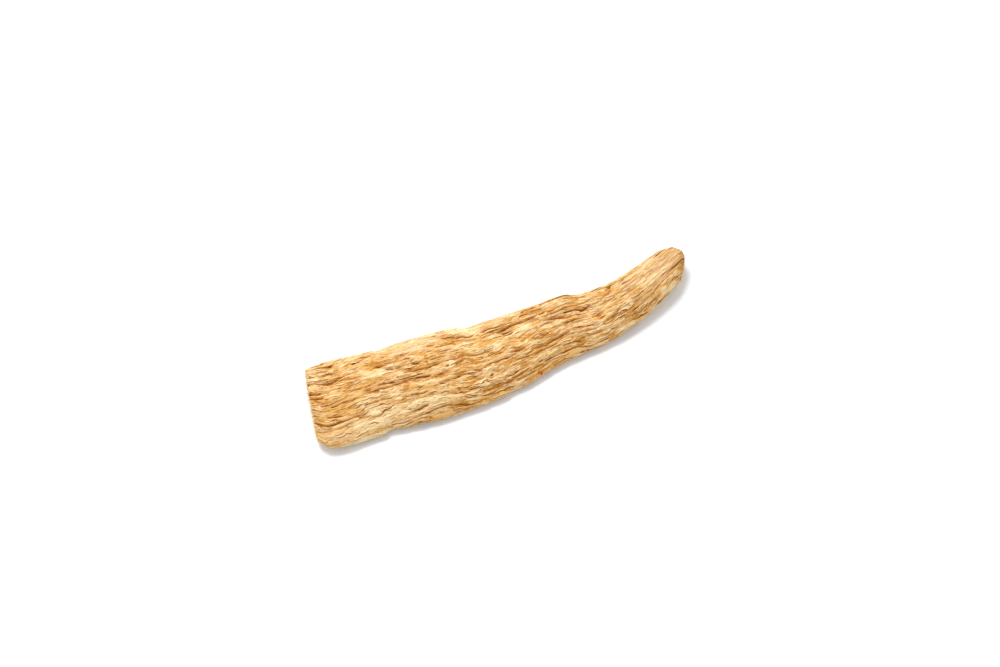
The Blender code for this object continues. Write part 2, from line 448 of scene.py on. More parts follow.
@dataclass(frozen=True)
class CrackLayer:
    """Thin cracks that run along the grain, each in a lane of its own, and never reach the next."""

    run: float
    gap: float
    depth: float
    half_width: float
    seed: float
    opens: tuple[float, float] = (0.10, 0.34)
    wander: float = 0.28
    wander_pace: float = 1.7
    lane_step: float = 5.17

    def share(self, along: float, across: float) -> float:
        """1 in the middle of a crack and 0 away from it.

        Args:
            along: how far along the grain.
            across: how far across it.

        Returns:
            How far into a crack the place is, from 0 to 1.
        """
        lane = math.floor(across / self.gap)
        told = lane * self.lane_step + self.seed
        gate = smooth_step(noise.noise(Vector((along / self.run, told, 0.5))), *self.opens)
        if gate == 0.0:
            return 0.0
        pace = along / self.run * self.wander_pace
        middle = 0.5 + self.wander * noise.noise(Vector((pace, told, 7.5)))
        off = abs(across / self.gap - lane - middle) * self.gap / self.half_width
        return gate * max(0.0, 1.0 - off)


@dataclass(frozen=True)
class WearAndShade:
    """What the slice is like at one place, with the values that the bark's painted shade follows.

    Args:
        furrow: from 0 on the back of a ridge to 1 at the bottom of a furrow.
        crack: 1 in the middle of a crack and 0 away from it.
        skin: how much of the papery outer skin is left, from 0 to 1.
        below: how deep under the nearest bark the place lies, in millimetres.
    """

    furrow: float
    crack: float
    skin: float
    below: float


@dataclass(frozen=True)
class BarkRelief:
    """The wrinkled bark: furrows, deep creases, thin cracks and fine fibres."""

    furrows: tuple[FurrowLayer, ...] = (
        FurrowLayer(8.0 * MM, 1.15 * MM, 0.38 * MM, 2.7),
        FurrowLayer(4.2 * MM, 0.66 * MM, 0.21 * MM, 3.7),
    )
    fine: tuple[FurrowLayer, ...] = (
        FurrowLayer(2.4 * MM, 0.36 * MM, 0.12 * MM, 8.1),
        FurrowLayer(1.4 * MM, 0.22 * MM, 0.06 * MM, 9.4),
    )
    flakes: tuple[FlakeLayer, ...] = (
        FlakeLayer(5.0 * MM, 1.30 * MM, 0.11 * MM, 31.6),
        FlakeLayer(2.8 * MM, 0.60 * MM, 0.07 * MM, 35.2),
    )
    flake_slant: float = 0.17
    broad_skin: float = 0.6
    fine_lift: float = 0.10 * MM
    sway: tuple[tuple[float, float, float], ...] = (
        (1.1 * MM, 17.0 * MM, 7.0 * MM),
        (0.42 * MM, 5.0 * MM, 2.3 * MM),
        (0.23 * MM, 2.1 * MM, 0.9 * MM),
    )
    sway_seed: float = 11.3
    swell: tuple[float, float, float] = (0.45 * MM, 12.0 * MM, 4.5 * MM)
    swell_seed: float = 5.9
    creases: tuple[Crease, ...] = CREASES
    crease_taper: float = 0.35
    crease_shade: float = 0.7
    crease_core: int = 5
    crack_shade: float = 0.8
    cracks: CrackLayer = CrackLayer(5.0 * MM, 1.00 * MM, 0.38 * MM, 0.15 * MM, 21.4)
    calm_spots: tuple[tuple[float, float, float, float], ...] = (
        (0.11, 0.06, 0.12, 0.10),
        (0.26, 0.90, 0.08, 0.14),
        (0.46, 0.95, 0.12, 0.10),
        (0.93, 0.55, 0.09, 0.45),
        (0.175, 0.62, 0.045, 0.07),
        (0.555, 0.66, 0.030, 0.06),
    )
    calm_edge: tuple[float, float] = (0.4, 1.3)
    calm_depth: float = 0.3
    side_depth: float = 0.4
    rim_depth: float = 0.2
    underside_depth: float = 0.22
    fray: tuple[tuple[float, float], ...] = ((0.34 * MM, 0.60 * MM), (0.26 * MM, 0.20 * MM))
    tip_fray: float = 0.5
    fray_from: float = 0.985
    fray_seed: float = 7.7

    def swayed(self, along: float, across: float, up: float) -> float:
        """How far across the grain a place lies, as the furrows sway there.

        Args:
            along: how far along the grain.
            across: how far across it.
            up: how high.

        Returns:
            The distance across, in metres.
        """
        return across + sum(
            reach * stretched_noise(along, across, up, run, gap, self.sway_seed + i)
            for i, (reach, run, gap) in enumerate(self.sway)
        )

    def furrow_drop(self, along: float, across: float, up: float) -> float:
        """How far the broad furrows sink the bark; across is already swayed."""
        return sum(layer.depth * layer.share(along, across, up) for layer in self.furrows)

    def fine_relief(self, along: float, across: float, up: float) -> tuple[float, float]:
        """The finer relief at a place on the bark.

        Args:
            along: how far along the grain.
            across: how far across it, already swayed.
            up: how high.

        Returns:
            How far the bark is sunk there, and how much of its papery skin is left, from 0 to 1.
        """
        slanted = across + self.flake_slant * along
        drop = sum(layer.depth * layer.share(along, across, up) for layer in self.fine)
        broad, small = (flake.share(along, slanted, up) for flake in self.flakes)
        drop += self.flakes[0].height * (1.0 - broad) + self.flakes[1].height * (1.0 - small)
        return drop, self.broad_skin * broad + (1.0 - self.broad_skin) * small

    def creased(self, share: float, side: float, half_width: float) -> tuple[float, float]:
        """What the deep creases do at a place.

        Args:
            share: how far along the slice.
            side: how far across it.
            half_width: half the slice's width there, in metres.

        Returns:
            How far into a crease the place is, from 0 to 1, and how far it is sunk, in metres.
        """
        amounts = [c.share(share, side, half_width, self.crease_taper) for c in self.creases]
        drops = [amount * c.depth * MM for amount, c in zip(amounts, self.creases)]
        return max(amounts), max(drops)

    def frayed(self, across: float, up: float, end: float) -> float:
        """How far the torn fibres of an end stand out.

        Args:
            across: how far across the grain.
            up: how high.
            end: 0 at the cut end and 1 at the narrow end.

        Returns:
            The distance, in metres.
        """
        return sum(
            reach * stretched_noise(0.0, across, up, 1.0, gap, self.fray_seed + end + i)
            for i, (reach, gap) in enumerate(self.fray)
        )

    def calm(self, share: float, side: float) -> float:
        """The share of the furrows' depth that is left at a place on the bark side.

        Args:
            share: how far along the slice.
            side: how far across it.

        Returns:
            That share, from 0 to 1.
        """
        fade = 0.0
        for along_at, across_at, reach_along, reach_across in self.calm_spots:
            away_along = (share - along_at) / reach_along
            away_across = ((side + 1.0) / 2.0 - across_at) / reach_across
            fade = max(fade, 1.0 - smooth_step(math.hypot(away_along, away_across), *self.calm_edge))
        return 1.0 - (1.0 - self.calm_depth) * fade


class Tint(Enum):
    """The colours that the bark has in patches, and where each is kept on the mesh; one brown patch at
    the narrow end is painted shade.
    """

    CREAM = ("zones", 0)
    OCHRE = ("zones", 1)
    BROWN = ("zones", 2)
    PINK = ("spots", 0)
    RED = ("spots", 1)
    WHITE = ("spots", 2)


@dataclass(frozen=True)
class Patch:
    """A patch of colour on the bark, with a ragged edge.

    Args:
        tint: which colour.
        share: its middle along the slice.
        side: its middle across the slice.
        along: how far it reaches along the grain, in millimetres.
        across: how far it reaches across the grain, in millimetres.
        strength: how strong it is in the middle, from 0 to 1.
    """

    tint: Tint
    share: float
    side: float
    along: float
    across: float
    strength: float = 1.0

    def amount(
        self, share: float, side: float, length: float, half_width: float, ragged: float
    ) -> float:
        """How strong the patch is at a place.

        Args:
            share: how far along the slice.
            side: how far across it.
            length: the slice's length along the grain.
            half_width: half the slice's width there, in metres.
            ragged: how far the patch's edge is moved there, out or in.

        Returns:
            The strength, from 0 to 1.
        """
        away_along = (share - self.share) * length / (self.along * MM)
        away_across = (side - self.side) * half_width / (self.across * MM)
        away = math.hypot(away_along, away_across)
        if away > PATCH_END:
            return 0.0
        return self.strength * (1.0 - smooth_step(away + ragged, *PATCH_FADE))


PATCHES = tuple(
    Patch(tint, *row)
    for tint, rows in {
        Tint.CREAM: (
            (0.16, -0.7, 6.5, 1.6, 0.9), (0.27, -0.66, 4.0, 1.2, 0.8), (0.02, 0.76, 2.6, 1.0, 0.9),
            (0.12, 0.95, 2.6, 1.0, 0.9), (0.18, 0.92, 2.8, 1.0, 0.8), (0.32, 0.92, 4.0, 1.2, 0.8),
            (0.41, 0.86, 4.2, 1.4, 0.9), (0.54, 0.95, 2.0, 0.8, 0.9), (0.175, 0.26, 2.9, 0.9, 0.95),
            (0.02, 0.62, 1.8, 0.9, 0.8), (0.19, -0.28, 3.0, 0.6, 0.7), (0.39, 0.4, 2.2, 0.9, 0.7),
            (0.47, 0.1, 3.0, 0.8, 0.6), (0.56, 0.34, 2.6, 0.8, 0.9), (0.505, -0.59, 1.8, 0.6, 0.8),
            (0.745, 0.16, 2.6, 0.8, 0.6), (0.68, -0.2, 3.6, 0.8, 0.5), (0.52, -0.72, 3.0, 0.7, 0.6),
            (0.79, 0.2, 3.0, 0.6, 0.6), (0.13, -1.12, 8.5, 1.3, 0.9), (0.1, 1.05, 5.0, 1.1, 0.95),
            (0.86, 0.1, 3.4, 0.5, 0.6),
        ),
        Tint.OCHRE: (
            (0.3, -1.04, 4.6, 0.8, 0.6), (0.16, 0.08, 3.6, 1.3, 0.8), (0.175, -0.48, 2.6, 1.0, 0.7),
            (0.08, 0.1, 3.0, 1.2, 0.6), (0.075, -0.28, 4.2, 2.2, 1.0), (0.515, 0.04, 2.0, 1.1, 0.7),
            (0.06, 0.55, 2.4, 0.9, 0.5), (0.457, 0.42, 1.9, 1.8, 1.0), (0.535, 0.74, 1.5, 0.9, 0.7),
            (0.775, 0.68, 1.8, 0.9, 0.8), (0.43, -0.97, 2.6, 0.9, 0.9), (0.55, -0.95, 3.0, 0.8, 0.7),
            (0.66, -0.95, 5.0, 0.9, 0.6), (0.33, 0.12, 2.6, 0.7, 0.5), (0.9, -0.5, 5.0, 1.4, 0.5),
            (0.97, 0.6, 3.0, 1.2, 0.55), (0.985, -0.4, 2.2, 1.6, 0.6), (0.1, -0.1, 4.0, 0.8, 0.5),
            (0.57, -1.0, 1.4, 0.7, 0.9),
        ),
        Tint.BROWN: (
            (0.495, 0.05, 0.8, 0.4, 0.7), (0.355, -0.93, 1.6, 0.5, 0.7), (0.64, -0.46, 0.4, 0.3, 1.0),
            # The patch at 0.993, -0.3 is painted shade on the narrow end's near corner.
            (0.51, 0.5, 2.0, 0.6, 0.7), (0.993, -0.3, 1.0, 2.4, 0.45), (0.7, 0.3, 3.0, 0.7, 0.6),
            (0.2225, -0.55, 0.13, 0.55, 1.0), (0.2285, -0.55, 0.13, 0.55, 1.0),
            (0.84, -0.75, 0.4, 0.3, 1.0),
        ),
        Tint.PINK: (
            (0.06, -0.88, 4.5, 1.3, 0.8), (0.222, -0.94, 2.8, 0.9, 0.75), (0.25, 1.12, 8.0, 1.2, 0.8),
            (0.5, 1.12, 8.0, 1.0, 0.7), (0.74, 1.12, 8.0, 1.0, 0.7), (0.25, 0.66, 4.0, 1.9, 0.8),
            (0.34, 0.8, 3.0, 1.3, 0.6), (0.48, 0.84, 3.0, 1.0, 0.6), (0.95, 0.1, 5.5, 2.6, 0.7),
            (0.87, 0.45, 3.0, 1.2, 0.6),
        ),
        Tint.RED: (
            (0.5605, -1.0, 0.3, 0.22, 0.8), (0.5665, -1.04, 0.34, 0.26, 0.95),
            (0.349, -0.69, 0.34, 0.22, 0.9), (0.359, -0.63, 0.28, 0.2, 0.9),
        ),
        Tint.WHITE: (
            (0.365, 0.3, 0.9, 0.35, 0.9), (0.795, 0.78, 0.9, 0.35, 0.9),
        ),
    }.items()
    for row in rows
)


class Wiring:
    """Adds nodes to one node tree and joins them."""

    def __init__(self, tree: bpy.types.NodeTree) -> None:
        """Starts wiring a tree."""
        self.tree = tree

    def add(self, kind: str, *values: Value, **settings: object) -> bpy.types.Node:
        """A new node.

        Args:
            kind: which node.
            values: what goes into its first inputs, in order.
            settings: its properties.

        Returns:
            The node.
        """
        node = self.tree.nodes.new(kind)
        for name, value in settings.items():
            setattr(node, name, value)
        for socket, value in zip(node.inputs, values):
            self.feed(socket, value)
        return node

    def feed(self, socket: Socket, value: Value) -> None:
        """Gives a socket a value, or joins another socket to it.

        Args:
            socket: the socket.
            value: its value, or the socket to join.
        """
        if isinstance(value, Socket):
            self.tree.links.new(value, socket)
        else:
            socket.default_value = value

    def maths(
        self, operation: str, first: Value, second: Value = 0.0, clamp: bool = False
    ) -> Socket:
        """One step of arithmetic."""
        settings = {"operation": operation, "use_clamp": clamp}
        return self.add("ShaderNodeMath", first, second, **settings).outputs[0]

    def plus(self, first: Value, second: Value, clamp: bool = False) -> Socket:
        """The sum of two values."""
        return self.maths("ADD", first, second, clamp)

    def minus(self, first: Value, second: Value, clamp: bool = False) -> Socket:
        """One value less another."""
        return self.maths("SUBTRACT", first, second, clamp)

    def times(self, first: Value, second: Value) -> Socket:
        """The product of two values."""
        return self.maths("MULTIPLY", first, second)

    def vector(self, operation: str, first: Value, second: Value) -> Socket:
        """One step of arithmetic on vectors."""
        return self.add("ShaderNodeVectorMath", first, second, operation=operation).outputs[0]

    def combine(self, x: Value, y: Value, z: Value) -> Socket:
        """A vector from three numbers."""
        return self.add("ShaderNodeCombineXYZ", x, y, z).outputs[0]

    def separate(self, vector: Socket) -> tuple[Socket, ...]:
        """The three numbers of a vector."""
        return tuple(self.add("ShaderNodeSeparateXYZ", vector).outputs)

    def spread(self, value: Value, *limits: float) -> Socket:
        """A value mapped smoothly from one range to another, which is 0 to 1 unless it is given."""
        kind, curve = "ShaderNodeMapRange", "SMOOTHSTEP"
        return self.add(kind, value, *limits, interpolation_type=curve, clamp=True).outputs[0]

    def mix(self, amount: Value, first: Value, second: Value, blend: str = "MIX") -> Socket:
        """A colour between two others.

        Args:
            amount: how much of the second colour there is, from 0 to 1.
            first: the colour below.
            second: the colour laid over it.
            blend: how it is laid over.

        Returns:
            The mixed colour.
        """
        node = self.add("ShaderNodeMix", amount, data_type="RGBA", blend_type=blend)
        self.feed(node.inputs[6], first)
        self.feed(node.inputs[7], second)
        return node.outputs[2]

    def stain_and_shade(self, amount: Value, colour: Socket, tint: Colour) -> Socket:
        """A colour darkened by a clear tint, which keeps it from turning grey: for stains, and for
        painted shade.
        """
        return self.mix(amount, colour, tint, "MULTIPLY")

    def ramp(self, amount: Socket, stops: Sequence[tuple[float, Colour]]) -> Socket:
        """A colour read off a row of stops.

        Args:
            amount: where to read.
            stops: each stop's place, from 0 to 1, and its colour.

        Returns:
            The colour.
        """
        node = self.add("ShaderNodeValToRGB", amount)
        elements = node.color_ramp.elements
        while len(elements) < len(stops):
            elements.new(0.5)
        for element, (position, colour) in zip(elements, stops):
            element.position = position
            element.color = colour
        return node.outputs[0]

    def read(self, name: str, output: str = "Fac") -> Socket:
        """What the mesh holds under a name, as a number or a vector."""
        return self.add("ShaderNodeAttribute", attribute_name=name).outputs[output]

    def cloud(
        self,
        place: Socket,
        detail: float,
        roughness: float = 0.5,
        distortion: float = 0.0,
        sizes: str = "3D",
    ) -> Socket:
        """Noise that changes smoothly from place to place, from about 0 to 1.

        Args:
            place: where it is read.
            detail: how many finer layers it has.
            roughness: how strong those are.
            distortion: how far it is pulled about.
            sizes: 2D or 3D.

        Returns:
            The noise.
        """
        node = self.add("ShaderNodeTexNoise", noise_dimensions=sizes)
        values = {"Scale": 1.0, "Detail": detail, "Roughness": roughness, "Distortion": distortion}
        for name, value in {"Vector": place, **values}.items():
            self.feed(node.inputs[name], value)
        return node.outputs[0]

    def in_grain(self, given: dict[str, Socket], run: Socket, gap: Socket) -> Socket:
        """A shared effect's place, counted in runs along the grain and gaps across it, and shifted."""
        scaled = self.vector("DIVIDE", given["Grain"], self.combine(run, gap, gap))
        return self.vector("ADD", scaled, self.combine(given["Shift"], given["Shift"], 0.0))

    def effect(self, tree: bpy.types.NodeTree, **values: Value) -> Socket:
        """Places a shared effect.

        Args:
            tree: the effect.
            values: what goes into its inputs, by name.

        Returns:
            Its output.
        """
        node = self.add("ShaderNodeGroup", node_tree=tree)
        for name, value in values.items():
            self.feed(node.inputs[name], value)
        return node.outputs[0]


def effect_tree(name: str, **values: float) -> tuple[Wiring, dict[str, Socket], Socket]:
    """Starts a shared effect that changes with the place in the grain.

    Args:
        name: what the effect is called.
        values: its other inputs, and what they start at.

    Returns:
        Its wiring, its inputs by name, and the socket that its value goes into.
    """
    tree = bpy.data.node_groups.new(name, "ShaderNodeTree")
    tree.interface.new_socket("Grain", in_out="INPUT", socket_type="NodeSocketVector")
    for label, value in values.items():
        socket = tree.interface.new_socket(label, in_out="INPUT", socket_type="NodeSocketFloat")
        socket.default_value = value
    tree.interface.new_socket("Value", in_out="OUTPUT", socket_type="NodeSocketFloat")
    wiring = Wiring(tree)
    entry = wiring.add("NodeGroupInput")
    leaving = wiring.add("NodeGroupOutput")
    return wiring, {socket.name: socket for socket in entry.outputs if socket.name}, leaving.inputs[0]


@lru_cache(maxsize=None)
def grain_streaks() -> bpy.types.NodeTree:
    """Streaks drawn out along the grain, from 0 to 1.

    Returns:
        The shared effect, which is built once.
    """
    wiring, given, result = effect_tree("grain_streaks", Run=4.0, Gap=0.4, Shift=0.0, Contrast=1.0)
    cloud = wiring.cloud(wiring.in_grain(given, given["Run"], given["Gap"]), 3.0, 0.6)
    strong = wiring.times(wiring.minus(cloud, 0.5), given["Contrast"])
    wiring.feed(result, wiring.plus(strong, 0.5, clamp=True))
    return wiring.tree


@lru_cache(maxsize=None)
def grain_cracks() -> bpy.types.NodeTree:
    """Hair-thin broken lines along the grain, each in a lane of its own: 1 on a line, 0 off it.

    Returns:
        The shared effect, which is built once.
    """
    values = {"Run": 4.0, "Gap": 0.6, "Width": 0.05, "Rarity": 0.5, "Shift": 0.0}
    wiring, given, result = effect_tree("grain_cracks", **values)
    along, across, _ = wiring.separate(given["Grain"])
    lanes = wiring.maths("DIVIDE", across, given["Gap"])
    lane = wiring.maths("FLOOR", lanes)
    told = wiring.plus(wiring.times(lane, 3.71), given["Shift"])
    run = wiring.maths("DIVIDE", along, given["Run"])
    gate = wiring.cloud(wiring.combine(run, told, 0.0), 1.0, sizes="2D")
    opened = wiring.spread(wiring.minus(gate, given["Rarity"]), 0.0, 0.12)
    wander = wiring.cloud(wiring.combine(wiring.times(run, 1.9), told, 0.0), 2.0, sizes="2D")
    off_middle = wiring.minus(wiring.minus(lanes, lane), wander)
    off_line = wiring.times(wiring.maths("ABSOLUTE", off_middle), given["Gap"])
    on_line = wiring.spread(wiring.maths("DIVIDE", off_line, given["Width"]), 0.2, 1.0, 1.0, 0.0)
    wiring.feed(result, wiring.times(on_line, opened))
    return wiring.tree


@lru_cache(maxsize=None)
def skin_wrinkles() -> bpy.types.NodeTree:
    """The small wrinkles of dried skin: 0 in their sharp valleys, 1 on the pads between them.

    Returns:
        The shared effect, which is built once.
    """
    wiring, given, result = effect_tree("skin_wrinkles", Run=1.2, Gap=0.5, Shift=0.0)
    cloud = wiring.cloud(wiring.in_grain(given, given["Run"], given["Gap"]), 2.0, 0.55, 0.5)
    off_valley = wiring.maths("ABSOLUTE", wiring.minus(cloud, 0.5))
    wiring.feed(result, wiring.spread(off_valley, 0.0, 0.10))
    return wiring.tree


@lru_cache(maxsize=None)
def grain_specks() -> bpy.types.NodeTree:
    """Small specks, a little longer along the grain: 1 on a speck, 0 off it.

    Returns:
        The shared effect, which is built once.
    """
    wiring, given, result = effect_tree("grain_specks", Size=0.8, Rarity=0.8, Shift=0.0)
    place = wiring.in_grain(given, wiring.times(given["Size"], 2.2), given["Size"])
    cells = wiring.add("ShaderNodeTexVoronoi", voronoi_dimensions="3D", feature="F1")
    wiring.feed(cells.inputs["Vector"], place)
    wiring.feed(cells.inputs["Scale"], 1.0)
    dot = wiring.spread(cells.outputs["Distance"], 0.12, 0.34, 1.0, 0.0)
    picked = wiring.separate(cells.outputs["Color"])[0]
    chosen = wiring.spread(wiring.minus(picked, given["Rarity"]), 0.0, 0.06)
    wiring.feed(result, wiring.times(dot, chosen))
    return wiring.tree


@dataclass(frozen=True)
class Streaks:
    """One pattern of streaks along the grain: their run, their gap, their shift and their contrast."""

    run: float
    gap: float
    shift: float
    contrast: float

    def lay(self, wiring: Wiring, grain: Socket) -> Socket:
        """Lays the streaks in a material and returns how strong they are."""
        values = {"Run": self.run, "Gap": self.gap, "Shift": self.shift, "Contrast": self.contrast}
        return wiring.effect(grain_streaks(), Grain=grain, **values)


def new_material(
    name: str, roughness: float, specular: float
) -> tuple[bpy.types.Material, Wiring, bpy.types.Node]:
    """A material with its surface's plain values set.

    Args:
        name: what it is called.
        roughness: its roughness, which a pattern may take over.
        specular: how strongly it reflects.

    Returns:
        The material, its wiring and its Principled shader.
    """
    material = bpy.data.materials.new(name)
    material.use_nodes = True
    shader = material.node_tree.nodes["Principled BSDF"]
    for label, value in (("Roughness", roughness), ("Metallic", 0.0), ("Specular IOR Level", specular)):
        shader.inputs[label].default_value = value
    return material, Wiring(material.node_tree), shader


def add_bump(
    wiring: Wiring, shader: bpy.types.Node, height: Socket, distance: float, strength: float
) -> None:
    """Raises a pattern off a surface in its shading.

    Args:
        wiring: the material's wiring.
        shader: its shader.
        height: the pattern.
        distance: how high the pattern stands where it is 1, in metres.
        strength: how strongly that shows.
    """
    bump = wiring.add("ShaderNodeBump")
    for label, value in (("Distance", distance), ("Strength", strength), ("Height", height)):
        wiring.feed(bump.inputs[label], value)
    wiring.feed(shader.inputs["Normal"], bump.outputs[0])


@dataclass(frozen=True)
class BarkFinish:
    """Dry straw-coloured bark, pale on its ridges and brown in its furrows, with painted shade in its
    furrows and cracks and painted highlights beside its dark lines.
    """

    name: str = "dried_root_bark"
    crest: Colour = tone(242, 213, 163)
    straw: Colour = tone(227, 185, 119)
    ochre: Colour = tone(204, 147, 72)
    # The furrow and crack colours are partly the bark's own browns and partly painted shade.
    furrow: Colour = tone(154, 93, 31)
    crack: Colour = tone(104, 46, 6)
    # A warm tint multiplied in for the specks, and as painted shade along the dark lines and in the
    # furrows.
    stain_and_shade: Colour = tone(205, 156, 84)
    cream: Colour = tone(248, 226, 181)
    orange: Colour = tone(217, 163, 83)
    brown: Colour = tone(156, 94, 38)
    pink: Colour = tone(230, 192, 148)
    red: Colour = tone(186, 66, 16)
    # white: the torn fibres, and the painted highlights beside the dark lines.
    white: Colour = tone(252, 236, 200)
    roughness: float = 0.85
    specular: float = 0.04
    broad: Streaks = Streaks(7.0, 1.7, 3.1, 1.9)
    ridges: Streaks = Streaks(4.0, 0.75, 5.5, 2.4)
    streaks: Streaks = Streaks(3.8, 0.32, 8.4, 2.0)
    fibres: Streaks = Streaks(1.3, 0.12, 1.7, 1.8)
    grit: Streaks = Streaks(0.42, 0.26, 6.9, 2.2)
    # How far from the dark lines the painted highlights sit, in millimetres of grain.
    highlight_shift: tuple[float, float, float] = (0.0, -0.14, 0.0)
    bump_depth: float = 0.08 * MM
    bump_strength: float = 0.58

    def material(self) -> bpy.types.Material:
        """Builds the bark's material, which reads what RootSlice paints on its mesh.

        Returns:
            The material.
        """
        material, wiring, shader = new_material(self.name, self.roughness, self.specular)
        grain = wiring.read("grain", "Vector")
        furrow, crack, skin = (wiring.read(name) for name in ("furrow", "crack", "skin"))
        cream, ochre, brown = wiring.separate(wiring.read("zones", "Vector"))
        pink, red, white = wiring.separate(wiring.read("spots", "Vector"))
        broad, ridges, streaks, fibres, grit = (
            pattern.lay(wiring, grain)
            for pattern in (self.broad, self.ridges, self.streaks, self.fibres, self.grit)
        )
        wrinkles = wiring.effect(skin_wrinkles(), Grain=grain, Run=1.5, Gap=0.55, Shift=4.7)

        # depth: how far down a furrow, crease or skin wrinkle a place is; the colours darken with it,
        # partly the bark's own browner furrows, partly painted shade.
        depth = wiring.times(furrow, 0.62)
        for pattern, middle, reach in (
            (streaks, 0.5, 0.28),
            (fibres, 0.5, 0.20),
            (grit, 0.5, 0.24),
            (broad, 0.42, 0.26),
            (wrinkles, 0.75, -0.22),
        ):
            change = wiring.times(wiring.minus(pattern, middle), reach)
            depth = wiring.plus(depth, change, clamp=True)
        stops = ((0.0, self.crest), (0.26, self.straw), (0.57, self.ochre), (0.94, self.furrow))
        colour = wiring.ramp(depth, stops)
        shallow = wiring.minus(1.0, wiring.times(depth, 0.8), clamp=True)
        papery = wiring.times(wiring.spread(skin, 0.30, 0.85), shallow)
        skin_colour = wiring.mix(wiring.spread(broad, 0.35, 0.65), self.cream, self.pink)
        bare = wiring.spread(skin, 0.45, 0.05)
        pale = wiring.times(wiring.spread(ridges, 0.58, 0.95), shallow)
        for amount, tint, reach in (
            (papery, skin_colour, 0.50),
            (bare, self.orange, 0.42),
            (pale, self.cream, 0.45),
            (wiring.times(ochre, shallow), self.orange, 0.80),
            # Brown patches, among them the painted shade at the narrow end.
            (wiring.times(brown, shallow), self.brown, 0.80),
            (wiring.times(pink, shallow), self.pink, 0.78),
            (wiring.times(cream, shallow), self.cream, 0.82),
        ):
            colour = wiring.mix(wiring.times(amount, reach), colour, tint)

        cracks = {"Run": 3.6, "Gap": 0.60, "Width": 0.075, "Rarity": 0.488, "Shift": 5.2}
        lines = wiring.effect(grain_cracks(), Grain=grain, **cracks)
        # Painted highlights: pale lines set just beside the dark lines, where a lifted lip would catch
        # the light.
        highlight_place = wiring.vector("ADD", grain, self.highlight_shift)
        painted_lip_highlights = wiring.effect(grain_cracks(), Grain=highlight_place, **cracks)
        hairs = wiring.effect(
            grain_cracks(), Grain=grain, Run=1.8, Gap=0.34, Width=0.06, Rarity=0.52, Shift=9.3
        )
        colour = wiring.mix(wiring.times(painted_lip_highlights, 0.40), colour, self.white)
        # The dark lines, cracks and crease bottoms: partly the dark inside of real cracks, partly
        # painted shade in them.
        dark = wiring.maths("MAXIMUM", wiring.times(lines, 0.95), wiring.times(hairs, 0.62))
        dark = wiring.maths("MAXIMUM", crack, dark, clamp=True)
        colour = wiring.stain_and_shade(wiring.spread(dark, 0.0, 0.7, 0.0, 0.9), colour, self.stain_and_shade)
        colour = wiring.mix(wiring.spread(dark, 0.35, 1.0, 0.0, 0.62), colour, self.crack)
        # Painted shade: the furrows darkened further by the warm tint.
        colour = wiring.stain_and_shade(wiring.spread(depth, 0.25, 0.90, 0.0, 0.34), colour, self.stain_and_shade)
        specks = wiring.effect(grain_specks(), Grain=grain, Size=0.55, Rarity=0.86, Shift=2.2)
        colour = wiring.stain_and_shade(wiring.times(specks, 0.8), colour, self.stain_and_shade)
        colour = wiring.mix(red, colour, self.red)
        torn = wiring.times(white, wiring.spread(streaks, 0.35, 0.65))
        wiring.feed(shader.inputs["Base Color"], wiring.mix(torn, colour, self.white))
        wiring.feed(shader.inputs["Roughness"], wiring.spread(depth, 0.0, 1.0, 0.76, 0.92))
        height = wiring.times(dark, -0.8)
        for pattern, rise in ((fibres, 0.6), (streaks, 0.7), (grit, 0.6), (wrinkles, 0.9)):
            height = wiring.plus(height, wiring.times(pattern, rise))
        add_bump(wiring, shader, height, self.bump_depth, self.bump_strength)
        return material


